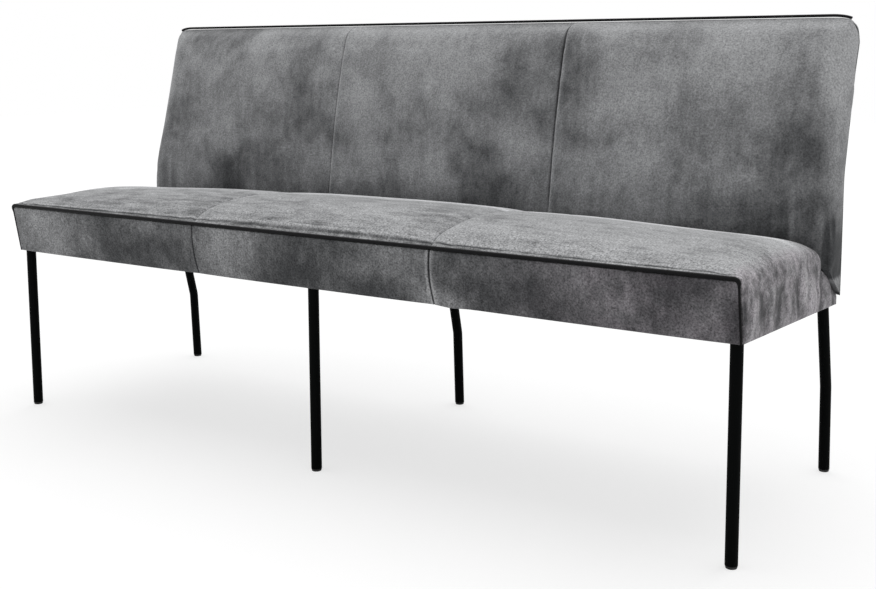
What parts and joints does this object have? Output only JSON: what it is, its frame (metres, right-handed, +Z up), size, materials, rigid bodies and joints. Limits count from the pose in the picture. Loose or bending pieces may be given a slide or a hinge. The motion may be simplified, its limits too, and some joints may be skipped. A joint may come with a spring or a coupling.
{
  "type": "upholstered dining bench",
  "caption": "Long upholstered dining bench with a crowned padded seat and a reclined padded back in grey nubuck leather, on slim black tube legs.",
  "frame": {"origin": "on the floor, under the middle of the bench", "axes": "+X along the bench to the right as seen from the front, +Y from front to back, +Z up"},
  "size_m": [1.8, 0.6456, 0.9181],
  "materials": {
    "grey_nubuck": "brushed, mottled nubuck",
    "dark_piping": "smooth dark edging",
    "black_steel": "satin powder coat",
    "black_plastic": "matte",
    "zinc_steel": "zinc plated",
    "timber": "planed, untreated",
    "elastic_webbing": "woven elastic",
    "black_felt": "felted cloth",
    "foam": "cut upholstery foam"
  },
  "bodies": {
    "root": {"back_bottom_rails": "timber", "back_cover_centre": "grey_nubuck", "back_cover_left": "grey_nubuck", "back_cover_right": "grey_nubuck", "back_foam_centre": "foam", "back_foam_left": "foam", "back_foam_right": "foam", "back_middle_rails": "timber", "back_piping": "dark_piping", "back_post_inner_left": "timber", "back_post_inner_right": "timber", "back_post_left": "timber", "back_post_right": "timber", "back_rear_cover": "grey_nubuck", "back_top_rail": "timber", "back_webbing": "elastic_webbing", "dust_cover": "black_felt", "foot_glides": "black_plastic", "frame_bolts": "zinc_steel", "front_leg_centre": "black_steel", "front_leg_left": "black_steel", "front_leg_right": "black_steel", "front_plate_centre": "black_steel", "front_plate_left": "black_steel", "front_plate_right": "black_steel", "plate_screws": "zinc_steel", "rear_leg_centre": "black_steel", "rear_leg_left": "black_steel", "rear_leg_right": "black_steel", "rear_plate_centre": "black_steel", "rear_plate_left": "black_steel", "rear_plate_right": "black_steel", "seat_corner_blocks": "timber", "seat_cover_centre": "grey_nubuck", "seat_cover_left": "grey_nubuck", "seat_cover_right": "grey_nubuck", "seat_cross_rail_centre": "timber", "seat_cross_rail_left": "timber", "seat_cross_rail_right": "timber", "seat_end_padding_left": "foam", "seat_end_padding_right": "foam", "seat_end_rail_left": "timber", "seat_end_rail_right": "timber", "seat_foam_centre": "foam", "seat_foam_left": "foam", "seat_foam_right": "foam", "seat_front_padding": "foam", "seat_front_panel_centre": "grey_nubuck", "seat_front_panel_left": "grey_nubuck", "seat_front_panel_right": "grey_nubuck", "seat_front_rail": "timber", "seat_piping": "dark_piping", "seat_rear_rail": "timber", "seat_rear_strip": "grey_nubuck", "seat_tail_blocks": "timber", "seat_tail_rail": "timber", "seat_webbing": "elastic_webbing"}
  },
  "joints": []
}
